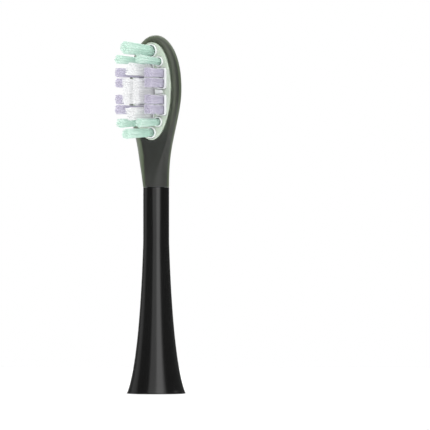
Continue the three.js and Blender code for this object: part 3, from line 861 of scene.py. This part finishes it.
class BRUSHHEAD_OT_sleeve(BrushOperator):
    """Add the glossy sleeve, the shaft socket and its steel leaf"""

    bl_idname = "brushhead.sleeve"
    bl_label = "Sleeve and Socket"

    def execute(self, context):
        colours = context.scene.brush_colours
        dress(add_sleeve(context.scene.brush_sleeve), gloss_black(colours))
        socket = softened_copy("shaft_socket", "acetal_socket", 0.05 * MM)
        dress(socket, socket_acetal(colours))
        leaf = softened_copy("shaft_leaf", "steel_leaf", 0.03 * MM)
        dress(leaf, spring_steel(colours))
        return {"FINISHED"}


class BRUSHHEAD_OT_head(BrushOperator):
    """Add the overmoulded head and finish the core inside it"""

    bl_idname = "brushhead.head"
    bl_label = "Overmoulded Head"

    def execute(self, context):
        colours = context.scene.brush_colours
        core = core_black(colours)
        dress(add_overmould(context.scene.brush_head), smoke_rubber(colours))
        dress(frame["nodes"]["head_core"], core)
        return {"FINISHED"}


class BRUSHHEAD_OT_carriers(BrushOperator):
    """Add the soft bed and the white carriers that float in it"""

    bl_idname = "brushhead.carriers"
    bl_label = "Bed and Carriers"

    def execute(self, context):
        colours = context.scene.brush_colours
        bed = softened_copy("soft_bed", "pale_bed", 0.12 * MM)
        dress(bed, pale_rubber(colours))
        white = carrier_white(colours)
        for node in sorted(frame["nodes"]):
            if node.endswith("_carrier"):
                piece = softened_copy(node, node.replace("_carrier", "_holder"), 0.08 * MM)
                dress(piece, white)
        return {"FINISHED"}


class BRUSHHEAD_OT_bristles(BrushOperator):
    """Plant every tuft with its nylon filaments"""

    bl_idname = "brushhead.bristles"
    bl_label = "Bristles"

    def execute(self, context):
        colours = context.scene.brush_colours
        finishes = {
            "mint_bristle": nylon("Mint nylon", colours.mint_root, colours.mint_tip),
            "lilac_bristle": nylon("Lilac nylon", colours.lilac_root, colours.lilac_tip),
            "white_bristle": nylon("White nylon", colours.white_root, colours.white_tip),
        }
        template = filament_template()
        for node in sorted(frame["nodes"]):
            if node.endswith("_tuft"):
                tuft = add_tuft(node, context.scene.brush_bristles, template)
                dress(tuft, finishes[slot_of_node(node)])
                # Lamps pass between the filaments: solid ones leave the gaps nearly black.
                tuft.visible_shadow = False
        return {"FINISHED"}


def add_softbox(name, azimuth, elevation, distance, size, power, target):
    """An area light that faces the target from an azimuth, as the camera's is counted."""
    light = bpy.data.lights.new(name, "AREA")
    light.shape = "RECTANGLE"
    light.size, light.size_y = size
    light.energy = power
    holder = bpy.data.objects.new(name, light)
    bpy.context.scene.collection.objects.link(holder)
    flat = Vector((math.sin(azimuth), -math.cos(azimuth), 0)) * math.cos(elevation)
    toward = flat + Vector((0, 0, math.sin(elevation)))
    holder.location = target + toward * distance
    holder.rotation_euler = (-toward).to_track_quat("-Z", "Y").to_euler()
    holder.visible_camera = False
    holder.visible_transmission = False
    return holder


def studio_world():
    """White surroundings, dimmer in gloss, so that the black sleeve stays dark."""
    world = bpy.data.worlds.new("studio")
    world.use_nodes = True
    tree = world.node_tree
    background = tree.nodes["Background"]
    path = node_at(tree, "ShaderNodeLightPath")
    through = node_at(tree, "ShaderNodeMath", operation="MAXIMUM")
    tree.links.new(path.outputs["Is Camera Ray"], through.inputs[0])
    tree.links.new(path.outputs["Is Transmission Ray"], through.inputs[1])
    glossy = node_at(tree, "ShaderNodeMix", data_type="FLOAT")
    glossy.inputs["A"].default_value = WORLD_LIGHT
    glossy.inputs["B"].default_value = WORLD_MIRRORED
    tree.links.new(path.outputs["Is Glossy Ray"], glossy.inputs["Factor"])
    blend = node_at(tree, "ShaderNodeMix", data_type="FLOAT")
    blend.inputs["B"].default_value = WORLD_SEEN
    tree.links.new(through.outputs[0], blend.inputs["Factor"])
    tree.links.new(glossy.outputs["Result"], blend.inputs["A"])
    tree.links.new(blend.outputs["Result"], background.inputs["Strength"])
    background.inputs["Color"].default_value = (1, 1, 1, 1)
    return world


class BRUSHHEAD_OT_stage(BrushOperator):
    """Add the pale floor, the soft studio lights and the camera"""

    bl_idname = "brushhead.stage"
    bl_label = "Stage"

    def execute(self, context):
        scene = context.scene
        stage = scene.brush_stage
        bm = bmesh.new()
        bmesh.ops.create_circle(bm, segments=96, radius=stage.floor_radius)
        under = Matrix.Translation((0, NECK_Y, 0))
        bmesh.ops.create_circle(bm, segments=96, radius=stage.floor_opening, matrix=under)
        bmesh.ops.bridge_loops(bm, edges=bm.edges)
        bm.normal_update()
        if sum(face.normal.z for face in bm.faces) < 0:
            bmesh.ops.reverse_faces(bm, faces=bm.faces)
        mesh = bpy.data.meshes.new("floor")
        bm.to_mesh(mesh)
        bm.free()
        floor = bpy.data.objects.new("floor", mesh)
        scene.collection.objects.link(floor)
        dress(floor, pale_floor(scene.brush_colours))

        centre = Vector((0, NECK_Y, stage.aim_height))
        right = Vector((math.cos(stage.azimuth), math.sin(stage.azimuth), 0))
        toward = Vector((math.sin(stage.azimuth), -math.cos(stage.azimuth), 0))
        camera = bpy.data.objects.new("camera", bpy.data.cameras.new("camera"))
        camera.data.lens = stage.focal
        camera.data.clip_end = 10
        camera.location = centre + right * stage.aside + toward * stage.distance
        camera.rotation_euler = (-toward).to_track_quat("-Z", "Y").to_euler()
        scene.collection.objects.link(camera)
        scene.camera = camera

        turn = math.radians
        seen = stage.azimuth
        for name, swing, lift, distance, size, power in SOFTBOXES:
            add_softbox(name, seen + turn(swing), turn(lift), distance, size, power, centre)

        scene.world = studio_world()
        scene.view_settings.view_transform = "Standard"
        return {"FINISHED"}


# ---------------------------------------------------------------- panel and registration


class BRUSHHEAD_PT_panel(bpy.types.Panel):
    """Brush head tools"""

    bl_idname = "BRUSHHEAD_PT_panel"
    bl_label = "Brush Head"
    bl_space_type = "VIEW_3D"
    bl_region_type = "UI"
    bl_category = "Brush Head"

    def draw(self, context):
        for operator in OPERATORS:
            self.layout.operator(operator.bl_idname)
        for settings in (SETTINGS[name] for name in sorted(SETTINGS)):
            group = getattr(context.scene, settings[0])
            box = self.layout.box()
            for key in group.bl_rna.properties.keys():
                if key not in ("rna_type", "name"):
                    box.prop(group, key)


OPERATORS = (
    BRUSHHEAD_OT_sleeve,
    BRUSHHEAD_OT_head,
    BRUSHHEAD_OT_carriers,
    BRUSHHEAD_OT_bristles,
    BRUSHHEAD_OT_stage,
)
SETTINGS = {
    "sleeve": ("brush_sleeve", BrushSleeveSettings),
    "head": ("brush_head", BrushHeadSettings),
    "bristles": ("brush_bristles", BrushBristleSettings),
    "colours": ("brush_colours", BrushColourSettings),
    "stage": ("brush_stage", BrushStageSettings),
}


def register():
    for attribute, settings in SETTINGS.values():
        bpy.utils.register_class(settings)
        setattr(bpy.types.Scene, attribute, PointerProperty(type=settings))
    for operator in OPERATORS:
        bpy.utils.register_class(operator)
    bpy.utils.register_class(BRUSHHEAD_PT_panel)


def unregister():
    bpy.utils.unregister_class(BRUSHHEAD_PT_panel)
    for operator in reversed(OPERATORS):
        bpy.utils.unregister_class(operator)
    for attribute, settings in SETTINGS.values():
        delattr(bpy.types.Scene, attribute)
        bpy.utils.unregister_class(settings)


def main():
    register()
    for operator in OPERATORS:
        section, name = operator.bl_idname.split(".")
        getattr(getattr(bpy.ops, section), name)()


if __name__ == "__main__":
    main()
